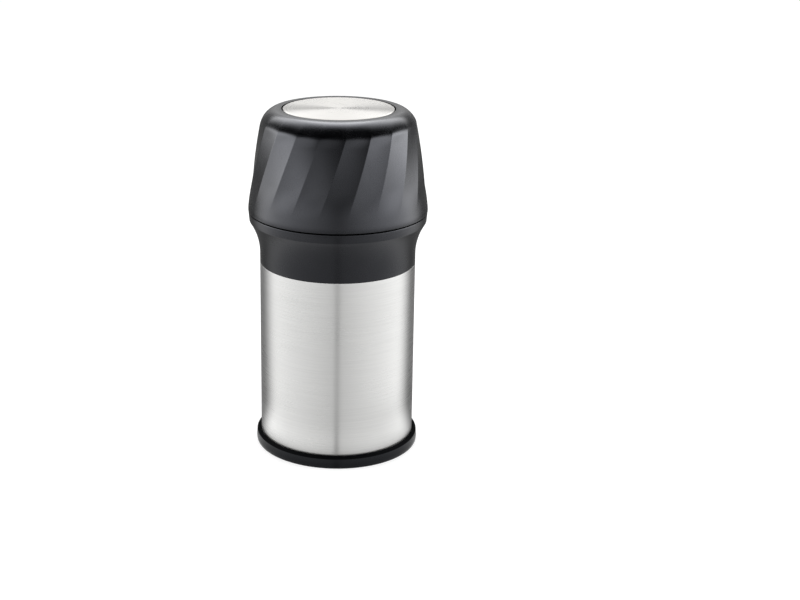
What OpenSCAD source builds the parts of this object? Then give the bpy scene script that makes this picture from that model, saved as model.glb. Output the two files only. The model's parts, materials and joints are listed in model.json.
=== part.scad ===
// Rotary cheese mill. A faceted twist head turns a sprung, spiked plunger, which presses cheese
// onto a fixed grater disc at the foot of a hopper in a steel sleeve. A shallow lid closes the foot.
// Millimetres, +Z up, front of the mill towards -Y, origin at the centre of the foot's underside.

/* [Heights] */
// Visible height of the foot lid's rim
foot_h = 5.8; // [5:0.1:9]
// Visible height of the steel sleeve
sleeve_h = 83.2; // [70:0.1:110]
// Height of the collar, from the sleeve to the seam
collar_h = 24; // [22:0.1:32]
// Width of the seam between collar and head
seam_gap = 0.45; // [0.3:0.05:0.8]
// Height of the head, from the seam to the top disc
head_h = 47.55; // [42:0.05:60]

/* [Outline] */
// Outside diameter of the steel sleeve
sleeve_d = 72.4; // [66:0.2:84]
// How far the foot lid stands out beyond the sleeve
foot_proud = 2.2; // [1.8:0.1:4]
// How far the foot lid's side leans in from its widest line to its bevel
foot_lean = 0.2; // [0:0.1:0.6]
// Height of the bevel along the foot lid's upper edge
foot_bevel_h = 1; // [0.5:0.1:2]
// Width of the flat on top of the foot lid's rim
rim_land = 0.3; // [0.2:0.05:0.5]
// Height of the foot lid's widest line
foot_wide_z = 1.5; // [1.3:0.1:2.5]
// Rounding of the foot lid's lower edge
foot_round = 0.8; // [0.4:0.1:1.2]
// How far the head stands out beyond the sleeve
head_proud = 5.3; // [4.6:0.1:9]
// How far the head narrows from the seam to its shoulder
head_taper = 5; // [3:0.1:6]
// How far the head's sides swell at half their height
head_swell = 0.2; // [0:0.05:0.6]
// Width of the flat rim between the top disc and the rounded shoulder
top_rim = 2.05; // [1:0.05:4]
// Height of the rounded shoulder at the top of the head
dome_h = 11; // [8:0.1:12]
// Height of the collar's upright band under the seam
band_h = 4; // [3:0.1:6]
// How far the collar's band leans out from its lower to its upper edge
band_lean = 0.4; // [0:0.1:1]
// Height of the collar's straight neck above the sleeve
neck_h = 4; // [2:0.1:5]
// Diameter of the steel disc on top
disc_d = 51; // [40:0.5:53]
// Open gap around the steel disc on top
disc_gap = 0.45; // [0.2:0.05:0.6]
// Size of the small edge breaks on plastic pieces
edge = 0.3; // [0.2:0.1:0.5]

/* [Facets] */
// Number of slanted facets round the head
facet_count = 20; // [12:1:30]
// Turn of the facets per millimetre of height, in degrees
facet_twist = 0.5; // [0:0.05:1]
// Height over which the facets fade in above the seam
fade_h = 13; // [6:1:20]
// Height of the plain foot of the head below the fading facets
plain_h = 5; // [3:0.5:8]
// Height of the upright edge at the very bottom of the head
upright_h = 2.6; // [1:0.1:4]
// Depth below the shoulder at which a ridge faces the front
ridge_depth = 6; // [0:0.5:18]

/* [Walls] */
// Wall of the steel sleeve
sleeve_t = 0.6; // [0.4:0.1:1]
// Wall of the hopper
hopper_t = 1.9; // [1.4:0.1:2.6]
// Wall of the collar's spigot inside the sleeve
spigot_t = 2.4; // [1.8:0.1:3]
// Wall of the head shell
shell_t = 2.4; // [1.8:0.1:3]
// Wall of the head core's tube
core_t = 3; // [2.6:0.1:4]
// Thickness of flat floors, ribs and flanges in plastic
floor_t = 2; // [1.6:0.1:2.6]
// Wall of the guide tube
guide_t = 1.4; // [1:0.1:2]
// Thickness of the steel disc on top
disc_t = 1.6; // [1:0.1:2.2]
// Wall of the hopper's foot round the carrier
foot_wall = 1.8; // [1.4:0.1:2.2]
// Wall of the foot lid's inner ring behind its groove
lid_ring_t = 1.2; // [0.8:0.1:2]
// Height of the snap bead between hopper and collar
bead = 0.5; // [0.3:0.1:0.6]
// Length of the collar's spigot inside the sleeve
spigot_h = 9; // [6:0.5:14]

/* [Lock ring] */
// Depth to which the lock ring plugs into the collar
plug_h = 13; // [12:0.5:15]
// Width of the lock ring's bearing land
land_w = 4.9; // [4:0.1:5.5]
// Width of the lock ring's flange outside its plug
lock_flange_w = 3.7; // [3:0.1:4.2]
// Thickness of the lock ring's flange
lock_flange_t = 3; // [2.6:0.1:4]
// Depth of the bayonet lugs
lug_w = 1.3; // [1:0.1:1.6]
// Height of the bayonet lugs
lug_h = 3; // [2:0.1:4]
// Angle that one bayonet lug covers, in degrees
lug_a = 16; // [10:1:20]
// Side play of a lug in its slot, in degrees
slot_play = 2; // [1:0.5:4]
// Height of the bayonet slots above the plug bore's floor
slot_step = 0.8; // [0.5:0.1:1.2]
// Turn that locks the bayonet, in degrees
lock_turn = 25; // [15:1:40]
// Number of bayonet lugs
bayonet_count = 3; // [2:1:4]
// Step from the hopper's outside to the plug bore
plug_step = 1.1; // [0.8:0.1:1.6]
// Wall of the plug's lower end
plug_wall = 1.9; // [1.5:0.1:2.4]
// Radius of the section of the silicone rings
seal_r = 0.75; // [0.5:0.05:0.8]

/* [Head core] */
// Thickness of the core's fixing flange
core_flange_t = 3; // [2.6:0.1:4]
// Thickness of the retainer ring
retainer_t = 2.4; // [2:0.1:3.5]
// How far the retainer ring reaches inside the core's tube
retainer_lip = 1; // [0.8:0.1:2]
// Number of screws in the retainer ring and in the guide tube
ring_screw_count = 3; // [3:1:6]
// Depth of the screw holes in the core's skirt
skirt_hole_l = 8; // [5:0.5:9]
// Number of bosses in the shell
boss_count = 4; // [3:1:6]
// Radius of the bosses
boss_r = 3; // [2.4:0.1:3.6]
// Height of the bosses
boss_h = 10; // [7:0.5:14]
// Space between a boss and the edge of the core's flange
boss_margin = 1.8; // [1:0.1:2.4]
// Radius of the top disc's boss
disc_boss_r = 8; // [5:0.5:12]
// Margin of the slip washer inside the lock ring's flange
washer_margin = 1; // [0.6:0.1:2]

/* [Grater] */
// Height of the carrier ring that holds the grater disc
carrier_h = 6.4; // [6:0.1:9]
// Width of the carrier ring
carrier_w = 4; // [3:0.1:5]
// Thickness of the grater disc
grater_t = 0.5; // [0.4:0.1:1]
// Radius of the grater holes
hole_r = 1.6; // [1:0.1:2.2]
// Distance between the rings of grater holes
hole_pitch = 6; // [5.5:0.5:8]
// Turn of each ring of holes against the one inside it, in degrees
hole_stagger = 15; // [0:1:30]
// Number of spokes under the grater disc
spoke_count = 3; // [3:1:6]
// Width of the spokes
spoke_w = 3; // [2:0.1:4]
// Radius of the hub where the spokes meet
spoke_hub_r = 3.5; // [3:0.1:6]
// Height of the raised cutting lips
tooth_h = 1; // [0.6:0.1:1.6]
// Thickness of the raised cutting lips
tooth_t = 0.5; // [0.3:0.1:0.6]
// Angle of a hole's edge that its cutting lip covers, in degrees
tooth_a = 160; // [90:5:170]

/* [Plunger] */
// Thickness of the plunger plate
plate_t = 3.8; // [3.2:0.1:5]
// Length of the spikes below the plate
pin_l = 3; // [2:0.1:5]
// Radius of the spikes
pin_r = 0.9; // [0.6:0.1:1.2]
// Length of the spikes' points
pin_tip_h = 1; // [0.6:0.1:1.8]
// Distance of the outer ring of spikes from the plate's edge
pin_inset = 8.5; // [4:0.5:9]
// Distance between the two rings of spikes
pin_row = 10; // [7:0.5:12]
// Number of spikes in the inner ring, with twice as many in the outer one
pin_count = 6; // [4:1:9]
// Depth of the stem's socket in the plate
socket_h = 1; // [0.6:0.1:1.2]
// Height of the spring's centring ring on the plate
centring_h = 2; // [1:0.1:4]
// Width of the spring's centring ring
centring_w = 1.2; // [0.8:0.1:2]
// Diameter of the plunger stem
stem_d = 21.2; // [18:0.2:24]
// Wall of the plunger stem
stem_t = 3.2; // [2.8:0.1:4]
// Length of the solid plug in the stem's lower end
stem_plug_h = 12; // [10:0.5:16]
// Height of the stop flange on top of the stem
stem_head_h = 3; // [2:0.1:5]
// How far the stop flange stands out from the stem
stem_lip = 1.6; // [1.2:0.1:2.4]
// Width of the keys in the guide
key_w = 3; // [2:0.1:4]
// Depth of the keys in the guide
key_depth = 1.4; // [0.8:0.1:1.6]
// Number of keys in the guide
key_count = 2; // [2:1:4]
// Free height left between plate and guide at the top of the stroke
approach = 5; // [3:0.5:8]
// Length of the guide's keyed throat, which always holds the stem
throat_l = 10; // [8:0.5:14]
// Diameter of the spring wire
wire_d = 1.5; // [1:0.1:2]
// Turns of the spring
spring_turns = 14; // [8:1:18]

/* [Screws] */
// Shank diameter of the small screws
screw_d = 2.2; // [1.8:0.1:2.4]
// Head diameter of the small screws
screw_head_d = 4; // [3.4:0.1:4.2]
// Head height of the small screws
screw_head_h = 1.4; // [1:0.1:1.6]
// Width of the screws' cross slots
drive_w = 0.6; // [0.4:0.1:0.8]
// Space round a screw head on the guide's flange
head_margin = 0.2; // [0.15:0.05:0.5]
// Solid depth left beyond the tips of the core screws
tip_margin = 2; // [1:0.1:3]
// Shank diameter of the plunger's countersunk screw
csk_d = 4; // [3:0.1:5]
// Height of the countersunk head, which flares at 45 degrees
csk_head_h = 1.8; // [1.4:0.1:2]
// Depth of the countersunk screw's hole in the stem
csk_l = 9; // [6:0.5:10]

/* [Clearances] */
// Between pieces that are assembled for good
joint_gap = 0.1; // [0.05:0.05:0.15]
// Between silicone rings or push fits and their bores
fit_gap = 0.08; // [0.04:0.02:0.1]
// Radial clearance of the head's bearing
run_gap = 0.06; // [0.03:0.01:0.1]
// Round the sliding stem
slide_gap = 0.1; // [0.06:0.02:0.2]
// Round the lock ring where it lifts out
lift_gap = 0.2; // [0.1:0.05:0.3]
// Axial rest between pieces that lift apart
rest_gap = 0.2; // [0.1:0.05:0.3]
// Between the plunger plate and the hopper
plate_gap = 0.6; // [0.3:0.1:1]
// Between the foot lid's rim and the sleeve
rim_gap = 0.4; // [0.3:0.05:0.5]
// Free height left between pieces that pass each other
pass_gap = 0.6; // [0.4:0.1:1]

/* [Hidden] */

// Circles are fine enough to count as true circles
$fn = 96;
// Overrun of cutting shapes past the faces they cut
cut = 0.5;

// Outline radii
sleeve_r = sleeve_d / 2;
foot_r = sleeve_r + foot_proud;
head_r = sleeve_r + head_proud;
shoulder_r = head_r - head_taper;
disc_r = disc_d / 2;
recess_r = disc_r + disc_gap;
dome_w = shoulder_r - recess_r - top_rim;

// Levels of the outside, from the foot up
sleeve_top = foot_h + sleeve_h;
seam_z = sleeve_top + collar_h;
head_z = seam_z + seam_gap;
top_z = head_z + head_h;
dome_z = top_z - dome_h;

// Wall chain of the body, from the sleeve inwards
sleeve_in = sleeve_r - sleeve_t;
spigot_r = sleeve_in - joint_gap;
spigot_in = spigot_r - spigot_t;
hopper_r = spigot_in - joint_gap;
hopper_in = hopper_r - hopper_t;

// Foot: lip under the sleeve, counterbore for the carrier, carrier and grater disc
lip_z = floor_t + rest_gap;
lip_top = lip_z + foot_wall;
counterbore_r = spigot_r - foot_wall;
carrier_r = counterbore_r - fit_gap;
carrier_in = carrier_r - carrier_w;
grater_z = lip_z + carrier_h;
grater_top = grater_z + grater_t;
hopper_floor = grater_top + joint_gap;

// Foot lid: rim, inner ring and the groove of its silicone ring
rim_in = sleeve_r + rim_gap;
rim_r = rim_in + rim_land;
bevel_r = foot_r - foot_lean;
ring_top = grater_z - floor_t - 2 * rest_gap;
ring_z = (floor_t + ring_top) / 2;
ring_r = carrier_in - pass_gap;
lid_seal_r = carrier_in - fit_gap - seal_r;
lid_groove_r = lid_seal_r - seal_r - joint_gap / 2;
ring_in = lid_groove_r - lid_ring_t;
groove_half = seal_r + joint_gap / 2;

// Collar: snap bead, plug bore, flange recess and bayonet slots
plug_z = seam_z - plug_h;
hopper_top = plug_z;
bead_z = hopper_top - 3 * bead;
collar_bore = hopper_r + plug_step;
plug_r = collar_bore - lift_gap;
flange_recess_z = seam_z - lock_flange_t;
lock_flange_r = plug_r + lock_flange_w;
flange_recess_r = lock_flange_r + lift_gap;
band_r = head_r - edge / 3;
slot_r = plug_r + lug_w + lift_gap;
slot_z = plug_z + slot_step;
slot_run_h = lug_h + 3 * rest_gap;

// Lock ring and the bearing of the head in it
lug_z = slot_z + rest_gap;
plug_in = plug_r - plug_wall;
land_r = plug_r - land_w;
land_z = lug_z + lug_h + pass_gap;
neck_seal_r = flange_recess_r - fit_gap - seal_r;
neck_groove_r = neck_seal_r - seal_r - joint_gap / 2;
neck_seal_z = (flange_recess_z + rest_gap / 2 + seam_z) / 2;

// Slip washer in the seam
washer_t = seam_gap - run_gap;

// Head core, from the lock ring's land inwards
core_r = land_r - run_gap;
core_in = core_r - core_t;
skirt_z = land_z - 1.5 * rest_gap;
roof_z = top_z - disc_t - shell_t;
core_top = roof_z - joint_gap;
seat_z = core_top - floor_t;
retainer_r = plug_in - pass_gap;
retainer_in = core_in - retainer_lip;
retainer_screw_r = core_in + core_t / 2;
retainer_screw_z = skirt_z - retainer_t + screw_head_h;
retainer_screw_l = skirt_z + skirt_hole_l - rest_gap - retainer_screw_z;

// Head shell: cone, and bosses for the core
cone_z = head_z + upright_h;
cone_r0 = head_r - edge / 2;
facet_start_z = head_z + plain_h;
ridge_z = dome_z - ridge_depth;
core_flange_r = shell_in(head_z + core_flange_t) - joint_gap;
boss_pitch = core_flange_r - boss_r - boss_margin;
boss_turn = 180 / boss_count;
boss_z = head_z + core_flange_t;
core_screw_z = head_z + screw_head_h;
core_screw_l = boss_z + boss_h - tip_margin - core_screw_z;

// Screws
screw_r = screw_d / 2;
screw_head_r = screw_head_d / 2;
screw_hole_r = screw_r + joint_gap / 4;
screw_head_hole_r = screw_head_r + joint_gap;
csk_r = csk_d / 2;
csk_head_r = csk_r + csk_head_h;

// Plunger plate and spikes
plate_z = grater_top + tooth_h + pass_gap + pin_l;
plate_top = plate_z + plate_t;
socket_z = plate_top - socket_h;
plate_r = hopper_in - plate_gap;
pin_embed = socket_z - rest_gap - plate_z;
pin_hole_r = pin_r + joint_gap / 4;
pin_rings = [[pin_count, plate_r - pin_inset - pin_row], [2 * pin_count, plate_r - pin_inset]];

// Stem, guide tube and spring
stem_r = stem_d / 2;
stem_in = stem_r - stem_t;
throat_r = stem_r + slide_gap;
guide_in = stem_r + stem_lip;
guide_r = guide_in + guide_t;
guide_flange_r = guide_r + screw_head_d + 2 * head_margin;
guide_screw_r = (guide_r + guide_flange_r) / 2;
guide_screw_l = 2 * (floor_t - rest_gap);
stroke = (seat_z - plate_top - throat_l - stem_head_h - pass_gap - approach) / 2;
guide_z = seat_z - stroke - throat_l - stem_head_h - pass_gap;
stem_head_z = guide_z + throat_l + joint_gap / 2;
stem_head_r = guide_in - slide_gap;
stem_top = stem_head_z + stem_head_h;
key_in = stem_r - key_depth;
keyway_w = key_w + 4 * slide_gap;
keyway_in = key_in - 2 * slide_gap;
keyway_z = plate_top + approach / 2;
wire_r = wire_d / 2;
spring_r = guide_flange_r + pass_gap + wire_r;
spring_seat_gap = joint_gap / 2;
centring_r = spring_r - wire_r - pass_gap;

// Colours
black = [0.07, 0.07, 0.075];
dark_grey = [0.2, 0.2, 0.21];
steel = [0.76, 0.76, 0.75];
spring_steel = [0.6, 0.61, 0.63];
silicone = [0.55, 0.56, 0.58];
bearing_white = [0.88, 0.88, 0.86];

// Radius of the head's straight cone at a height
function cone_r(z) = cone_r0 + (shoulder_r - cone_r0) * (z - cone_z) / (dome_z - cone_z);

// Inside radius of the head shell at a height
function shell_in(z) = cone_r(max(z, cone_z)) - shell_t;

// Radius of the rounded shoulder at a height above its start
function dome_r(z) = shoulder_r - dome_w + dome_w * sqrt(max(0, 1 - pow((z - dome_z) / dome_h, 2)));

// Smooth step from 0 to 1
function ease(t) = let (c = max(0, min(1, t))) c * c * (3 - 2 * c);

// Radius of the head along its ridges: upright edge, swelling cone and rounded shoulder
function ridge_r(z) =
    let (t = (z - cone_z) / (dome_z - cone_z))
    let (side = cone_r(z) + 4 * head_swell * t * (1 - t))
    z < head_z + edge ? head_r - edge
    : z < cone_z ? head_r
    : z < dome_z ? side
    : min(side, dome_r(z));

// Radius of the head at a height, and at a share of the way across one facet. The facets fade in
// above the seam and fade out again over the shoulder.
function head_skin_r(z, share) =
    let (half = 180 / facet_count)
    let (chord = cos(half) / cos(half * (2 * share - 1)))
    let (fade = ease((z - facet_start_z) / fade_h) * (1 - ease((z - dome_z) / dome_h)))
    ridge_r(z) * (1 + (chord - 1) * fade);

// Points of an arc about a centre, in degrees
function arc(centre, radius, from, to, steps) = [
    for (i = [0:steps])
        let (a = from + (to - from) * i / steps)
        centre + radius * [cos(a), sin(a)]
];

// Side view of a snap bead of a given height on a wall, going up
function bead_points(wall, high, z) = [
    [wall, z - 2 * high], [wall + high, z - high / 2], [wall + high, z + high / 2], [wall, z + 2 * high]
];

// Solid ring between two radii and two heights
module ring(inner, outer, low, high) {
    rotate_extrude() translate([inner, low]) square([outer - inner, high - low]);
}

// Sector of a ring that starts at an angle
module ring_sector(inner, outer, low, high, start, sweep) {
    rotate([0, 0, start])
        rotate_extrude(angle = sweep)
            translate([inner, low]) square([outer - inner, high - low]);
}

// Copies of a shape about the mill's axis
module around(count, start = 0) {
    for (i = [0:count - 1])
        rotate([0, 0, start + i * 360 / count]) children();
}

// Silicone ring of round section
module silicone_ring(radius, z) {
    color(silicone) rotate_extrude() translate([radius, z]) circle(r = seal_r, $fn = 32);
}

// Small screw pointing up, with its head's bearing face at z = 0
module small_screw(length) {
    difference() {
        union() {
            cylinder(r = screw_r, h = length);
            translate([0, 0, -screw_head_h]) cylinder(r = screw_head_r, h = screw_head_h);
        }
        for (turn = [0, 90])
            rotate([0, 0, turn])
                translate([-screw_r, -drive_w / 2, -screw_head_h - cut])
                    cube([screw_d, drive_w, cut + screw_head_h / 2]);
    }
}

// Hole for a small screw, with the room for its head below z = 0
module screw_hole(length, head_room) {
    cylinder(r = screw_hole_r, h = length + joint_gap);
    translate([0, 0, -head_room]) cylinder(r = screw_head_hole_r, h = head_room);
}

// Foot lid with an upstanding ring that carries its silicone ring
module foot_lid() {
    color(black) rotate_extrude() polygon(concat(
        [[0, 0]],
        arc([foot_r - foot_round, foot_round], foot_round, -90, 0, 4),
        [
            [foot_r, foot_wide_z],
            [bevel_r, foot_h - foot_bevel_h],
            [rim_r, foot_h],
            [rim_in, foot_h],
            [rim_in, floor_t],
            [ring_r, floor_t],
            [ring_r, ring_z - groove_half],
            [lid_groove_r, ring_z - groove_half],
            [lid_groove_r, ring_z + groove_half],
            [ring_r, ring_z + groove_half],
            [ring_r, ring_top],
            [ring_in, ring_top],
            [ring_in, floor_t],
            [0, floor_t]
        ]
    ));
}

// Silicone ring that grips the carrier's bore
module lid_seal() {
    silicone_ring(lid_seal_r, ring_z);
}

// Carrier ring with spokes under the grater disc
module grater_carrier() {
    color(dark_grey) union() {
        ring(carrier_in, carrier_r, lip_z, grater_z);
        translate([0, 0, grater_z - floor_t]) cylinder(r = spoke_hub_r, h = floor_t);
        around(spoke_count)
            translate([0, -spoke_w / 2, grater_z - floor_t])
                cube([carrier_in + carrier_w / 4, spoke_w, floor_t]);
    }
}

// Places of the grater holes, in rings of six more each
module grater_holes() {
    for (k = [1:floor((carrier_in - hole_r - tooth_t) / hole_pitch)])
        around(6 * k, hole_stagger * k) translate([hole_pitch * k, 0, 0]) children();
}

// Steel disc with drilled holes, each with a raised lip on one side
module grater_disc() {
    color(steel) difference() {
        union() {
            translate([0, 0, grater_z]) cylinder(r = carrier_r - edge, h = grater_t);
            grater_holes()
                translate([0, 0, grater_top])
                    ring_sector(
                        hole_r - tooth_t, hole_r + tooth_t,
                        -grater_t / 2, tooth_h,
                        90 - tooth_a / 2, tooth_a
                    );
        }
        grater_holes()
            translate([0, 0, grater_z - cut])
                cylinder(r = hole_r, h = grater_t + tooth_h + 2 * cut, $fn = 32);
    }
}

// Hopper tube with a snap bead under its rim, and at the foot a lip under the sleeve
module hopper() {
    color(dark_grey) rotate_extrude() polygon(concat(
        [
            [counterbore_r, lip_z],
            [sleeve_r - joint_gap, lip_z],
            [sleeve_r - joint_gap, lip_top],
            [spigot_r, lip_top],
            [spigot_r, hopper_floor + floor_t],
            [hopper_r, hopper_floor + floor_t]
        ],
        bead_points(hopper_r, bead, bead_z),
        [
            [hopper_r, hopper_top],
            [hopper_in, hopper_top],
            [hopper_in, hopper_floor],
            [counterbore_r, hopper_floor]
        ]
    ));
}

// Brushed steel sleeve between the hopper's lip and the collar
module sleeve() {
    color(steel) ring(sleeve_in, sleeve_r, lip_top, sleeve_top);
}

// One bayonet slot: a way in from above and a run to the side
module bayonet_slot() {
    way_a = lug_a + 2 * slot_play;
    ring_sector(collar_bore - cut, slot_r, slot_z, flange_recess_z + cut, 0, way_a);
    ring_sector(collar_bore - cut, slot_r, slot_z, slot_z + slot_run_h, 0, way_a + lock_turn);
}

// Collar: spigot in the sleeve, flared outside, plug bore with bayonet slots
module collar() {
    cove_w = band_r - band_lean - sleeve_r;
    cove_h = collar_h - neck_h - band_h;
    cove_r = (cove_w * cove_w + cove_h * cove_h) / (2 * cove_w);
    cove_sweep = asin(cove_h / cove_r);
    color(black) difference() {
        rotate_extrude() polygon(concat(
            [
                [spigot_in, sleeve_top - spigot_h],
                [spigot_r, sleeve_top - spigot_h],
                [spigot_r, sleeve_top],
                [sleeve_r, sleeve_top]
            ],
            arc([sleeve_r + cove_r, sleeve_top + neck_h], cove_r, 180, 180 - cove_sweep, 10),
            [
                [band_r, seam_z - edge],
                [band_r - edge, seam_z],
                [flange_recess_r, seam_z],
                [flange_recess_r, flange_recess_z],
                [collar_bore, flange_recess_z],
                [collar_bore, plug_z],
                [spigot_in, plug_z]
            ],
            [for (i = [3:-1:0]) bead_points(spigot_in, bead, bead_z)[i]]
        ));
        around(bayonet_count) bayonet_slot();
    }
}

// Lock ring: plug with bayonet lugs, flange with a seal groove, and the bearing land of the head
module lock_ring() {
    color(dark_grey) union() {
        rotate_extrude() polygon([
            [plug_in, plug_z + rest_gap],
            [plug_r, plug_z + rest_gap],
            [plug_r, flange_recess_z + rest_gap / 2],
            [lock_flange_r, flange_recess_z + rest_gap / 2],
            [lock_flange_r, neck_seal_z - groove_half],
            [neck_groove_r, neck_seal_z - groove_half],
            [neck_groove_r, neck_seal_z + groove_half],
            [lock_flange_r, neck_seal_z + groove_half],
            [lock_flange_r, seam_z],
            [land_r, seam_z],
            [land_r, land_z],
            [plug_in, land_z]
        ]);
        around(bayonet_count)
            ring_sector(plug_r - plug_wall / 2, plug_r + lug_w, lug_z, lug_z + lug_h, slot_play, lug_a);
    }
}

// Silicone ring between the lock ring's flange and the collar
module neck_seal() {
    silicone_ring(neck_seal_r, neck_seal_z);
}

// Plain bearing ring on which the head turns
module slip_washer() {
    color(bearing_white)
        ring(land_r + washer_margin, lock_flange_r - washer_margin, head_z - washer_t, head_z);
}

// Inner frame of the head: skirt in the lock ring, fixing flange, tube and spring seat
module head_core() {
    color(dark_grey) difference() {
        rotate_extrude() polygon([
            [core_in, skirt_z],
            [core_r, skirt_z],
            [core_r, head_z],
            [core_flange_r, head_z],
            [core_flange_r, head_z + core_flange_t],
            [core_r, head_z + core_flange_t],
            [core_r, core_top],
            [0, core_top],
            [0, seat_z],
            [core_in, seat_z]
        ]);
        around(boss_count, boss_turn)
            translate([boss_pitch, 0, core_screw_z]) screw_hole(core_flange_t, screw_head_h + cut);
        around(ring_screw_count)
            translate([retainer_screw_r, 0, skirt_z - cut])
                cylinder(r = screw_hole_r, h = skirt_hole_l + cut);
        around(ring_screw_count)
            translate([guide_screw_r, 0, seat_z - floor_t])
                cylinder(r = screw_hole_r, h = guide_screw_l + joint_gap);
    }
}

// Ring under the core's skirt that keeps the lock ring on the head
module retainer_ring() {
    color(dark_grey) difference() {
        ring(retainer_in, retainer_r, skirt_z - retainer_t, skirt_z);
        around(ring_screw_count)
            translate([retainer_screw_r, 0, retainer_screw_z])
                screw_hole(retainer_t, screw_head_h + cut);
    }
}

// Screws of the retainer ring
module retainer_screws() {
    color(spring_steel) around(ring_screw_count)
        translate([retainer_screw_r, 0, retainer_screw_z]) small_screw(retainer_screw_l);
}

// Screws that hold the core in the shell
module core_screws() {
    color(spring_steel) around(boss_count, boss_turn)
        translate([boss_pitch, 0, core_screw_z]) small_screw(core_screw_l);
}

// Guide tube with a flange under the spring seat and a keyed throat at its lower end
module guide_tube() {
    color(dark_grey) difference() {
        union() {
            rotate_extrude() polygon([
                [throat_r, guide_z],
                [guide_r, guide_z],
                [guide_r, seat_z - floor_t],
                [guide_flange_r, seat_z - floor_t],
                [guide_flange_r, seat_z],
                [guide_in, seat_z],
                [guide_in, guide_z + throat_l],
                [throat_r, guide_z + throat_l]
            ]);
            around(key_count)
                translate([key_in, -key_w / 2, guide_z])
                    cube([throat_r - key_in + guide_t, key_w, throat_l]);
        }
        around(ring_screw_count)
            translate([guide_screw_r, 0, seat_z - floor_t - cut])
                cylinder(r = screw_hole_r, h = floor_t + 2 * cut);
    }
}

// Screws that hold the guide tube under the spring seat
module guide_screws() {
    color(spring_steel) around(ring_screw_count)
        translate([guide_screw_r, 0, seat_z - floor_t]) small_screw(guide_screw_l);
}

// Outside of the head as one closed skin of slanted facets that run over a round shoulder
module head_skin() {
    cone_steps = 10;
    dome_steps = 10;
    across = 4;
    count = facet_count * across;
    levels = concat(
        [head_z, head_z + edge],
        [for (i = [0:cone_steps - 1]) cone_z + (dome_z - cone_z) * i / cone_steps],
        [for (i = [0:dome_steps]) dome_z + dome_h * sin(90 * i / dome_steps)]
    );
    last = len(levels) - 1;
    points = [
        for (z = levels)
            for (i = [0:count - 1])
                let (a = 360 * i / count - 90 + facet_twist * (z - ridge_z))
                let (r = head_skin_r(z, (i % across) / across))
                [r * cos(a), r * sin(a), z]
    ];
    sides = [
        for (k = [0:last - 1])
            for (i = [0:count - 1])
                let (j = (i + 1) % count)
                each [
                    [k * count + i, (k + 1) * count + i, (k + 1) * count + j],
                    [k * count + i, (k + 1) * count + j, k * count + j]
                ]
    ];
    bottom = [for (i = [0:count - 1]) i];
    top = [for (i = [count - 1:-1:0]) last * count + i];
    polyhedron(points, concat([bottom, top], sides));
}

// Twist head: faceted shell with bosses for the core and a recess for the disc
module head_shell() {
    color(black) difference() {
        union() {
            difference() {
                head_skin();
                rotate_extrude() polygon([
                    [0, head_z - cut],
                    [shell_in(head_z), head_z - cut],
                    [shell_in(cone_z), cone_z],
                    [shell_in(dome_z), dome_z],
                    [dome_r(roof_z) - shell_t, roof_z],
                    [0, roof_z]
                ]);
            }
            around(boss_count, boss_turn) {
                translate([boss_pitch, 0, boss_z]) cylinder(r = boss_r, h = boss_h);
                translate([boss_pitch, -boss_r / 2, boss_z])
                    cube([shell_in(boss_z) + shell_t / 3 - boss_pitch, boss_r, boss_h]);
            }
        }
        around(boss_count, boss_turn)
            translate([boss_pitch, 0, boss_z - cut])
                cylinder(r = screw_hole_r, h = boss_h - tip_margin + joint_gap + cut);
        translate([0, 0, top_z - disc_t]) cylinder(r = recess_r, h = disc_t + cut);
        translate([0, 0, roof_z - cut]) cylinder(r = disc_boss_r + joint_gap, h = shell_t + 2 * cut);
    }
}

// Steel disc with a boss that presses into the shell's roof
module top_disc() {
    color(steel) rotate_extrude() polygon([
        [0, roof_z],
        [disc_boss_r, roof_z],
        [disc_boss_r, top_z - disc_t],
        [disc_r, top_z - disc_t],
        [disc_r, top_z - edge],
        [disc_r - edge, top_z],
        [0, top_z]
    ]);
}

// Compression spring with closed end turns
module main_spring() {
    steps = 16;
    sides = 6;
    low = plate_top + spring_seat_gap + wire_r;
    high = seat_z - spring_seat_gap - wire_r;
    end_rise = wire_d + spring_seat_gap;
    free_pitch = (high - low - 2 * end_rise) / (spring_turns - 2);
    last = spring_turns * steps;
    function rise(t) = t < 1 ? low + end_rise * t
        : t > spring_turns - 1 ? high - end_rise * (spring_turns - t)
        : low + end_rise + free_pitch * (t - 1);
    points = [
        for (k = [0:last])
            for (s = [0:sides - 1])
                let (turn = k / steps)
                let (a = 360 * turn)
                let (b = 360 * s / sides + 90)
                let (r = spring_r + wire_r * cos(b))
                [r * cos(a), r * sin(a), rise(turn) + wire_r * sin(b)]
    ];
    walls = [
        for (k = [0:last - 1])
            for (s = [0:sides - 1])
                let (n = (s + 1) % sides)
                each [
                    [k * sides + s, (k + 1) * sides + s, (k + 1) * sides + n],
                    [k * sides + s, (k + 1) * sides + n, k * sides + n]
                ]
    ];
    first_end = [for (s = [0:sides - 1]) s];
    last_end = [for (s = [sides - 1:-1:0]) last * sides + s];
    color(spring_steel) polyhedron(points, concat([first_end, last_end], walls));
}

// Hollow stem with keyways, a stop flange at the top and a plug for the screw at the bottom
module plunger_stem() {
    color(dark_grey) difference() {
        rotate_extrude() polygon([
            [0, socket_z],
            [stem_r, socket_z],
            [stem_r, stem_head_z],
            [stem_head_r, stem_head_z],
            [stem_head_r, stem_top],
            [stem_in, stem_top],
            [stem_in, socket_z + stem_plug_h],
            [0, socket_z + stem_plug_h]
        ]);
        around(key_count)
            translate([keyway_in, -keyway_w / 2, keyway_z])
                cube([stem_r - keyway_in + cut, keyway_w, stem_head_z - keyway_z]);
        translate([0, 0, socket_z - cut]) cylinder(r = csk_r + joint_gap / 4, h = csk_l + cut);
    }
}

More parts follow.
